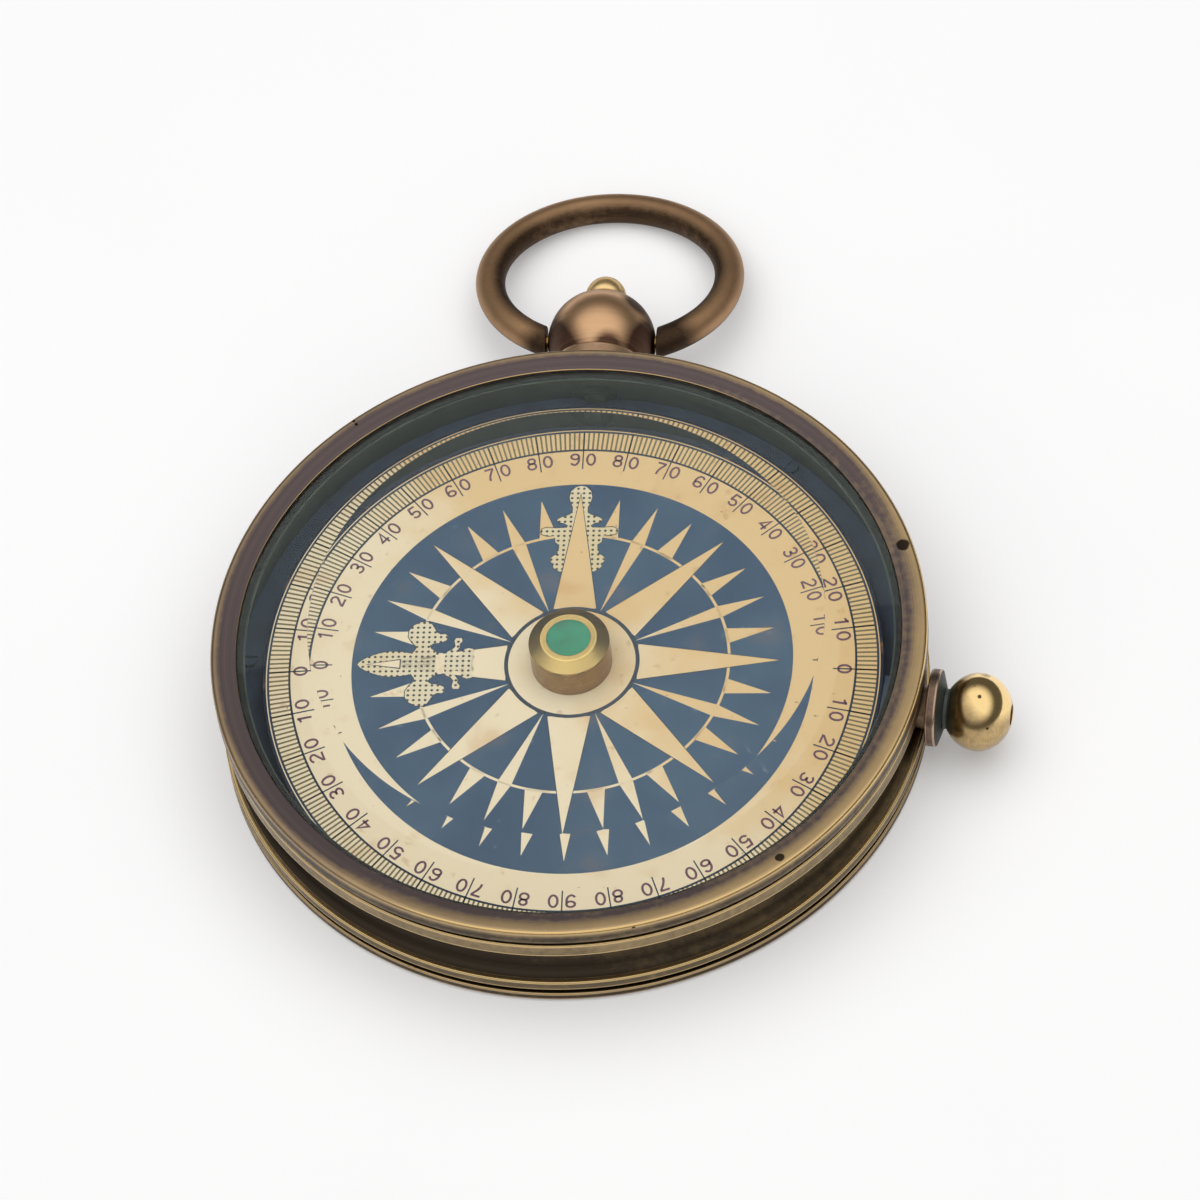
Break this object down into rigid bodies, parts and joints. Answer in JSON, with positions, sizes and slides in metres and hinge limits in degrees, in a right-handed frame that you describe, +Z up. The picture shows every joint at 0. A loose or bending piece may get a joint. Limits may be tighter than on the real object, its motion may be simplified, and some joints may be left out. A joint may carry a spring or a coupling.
{
  "type": "pocket compass",
  "caption": "Open-face brass pocket compass with a floating card, bevelled crystal, card lock knob and a hinged bow.",
  "frame": {"origin": "centre of the flat back face of the case, on the surface that the compass lies on", "axes": "+Z up through the crystal, +Y out through the pendant, +X to the right seen from above with the pendant away from the viewer; the lock knob points 6 degrees from +X towards -Y"},
  "size_m": [0.0838, 0.1047, 0.0154],
  "materials": {
    "case_brass": "aged, worn bright on the edges",
    "bezel_brass": "dark patina on the top face, worn bright on the outer edge",
    "crystal_glass": "polished, bevelled",
    "gasket_rubber": "matte",
    "works_brass": "machined",
    "screw_steel": "satin",
    "needle_steel": "polished",
    "knob_brass": "turned and worn bright",
    "card_paper": "printed, yellowed paper",
    "backing_aluminium": "satin",
    "magnet_steel": "satin",
    "cap_brass": "turned and polished",
    "inlay_green": "satin enamel",
    "jewel": "polished",
    "pendant_brass": "turned, aged",
    "bow_brass": "drawn wire, aged"
  },
  "bodies": {
    "case": {"back_cover": "case_brass", "case_body": "case_brass", "bezel_ring": "bezel_brass", "crystal": "crystal_glass", "crystal_gasket": "gasket_rubber", "base_plate": "works_brass", "plate_screws": "screw_steel", "pivot_post": "works_brass", "post_nut": "screw_steel", "pivot_needle": "needle_steel", "inner_bridge": "works_brass", "outer_bridge": "works_brass", "bridge_screws": "screw_steel", "lock_bush": "case_brass", "pendant_collar": "pendant_brass", "pendant_ball": "pendant_brass", "finial_screw": "pendant_brass", "finial_nut": "screw_steel"},
    "plunger": {"pull_bar": "works_brass", "lock_stem": "works_brass", "lock_knob": "knob_brass"},
    "lifter": {"lift_ring": "works_brass"},
    "card": {"card_disc": "card_paper", "card_backing": "backing_aluminium", "magnet_bars": "magnet_steel", "magnet_rivets": "works_brass", "hub_nut": "works_brass", "cap_body": "cap_brass", "cap_inlay": "inlay_green", "cap_jewel": "jewel"},
    "bow": {"bow_ring": "bow_brass", "bow_pins": "bow_brass"}
  },
  "joints": [
    {"name": "lock_slide", "type": "slide", "parent": "case", "child": "plunger", "axis": [0.9945, -0.1045, 0], "range_m": [0, 0.0015]},
    {"name": "lift_slide", "type": "slide", "parent": "case", "child": "lifter", "axis": [0, 0, 1], "range_m": [0, 0.0007]},
    {"name": "card_spin", "type": "hinge", "parent": "lifter", "child": "card", "pos_m": [0, 0, 0.0079], "axis": [0, 0, 1], "continuous": true},
    {"name": "bow_swing", "type": "hinge", "parent": "case", "child": "bow", "pos_m": [0, 0.0436, 0.00588], "axis": [1, 0, 0], "range_deg": [0, 142]}
  ],
  "couplings": [
    {"joint": "lift_slide", "follows": "lock_slide", "ratio": 0.46667}
  ]
}
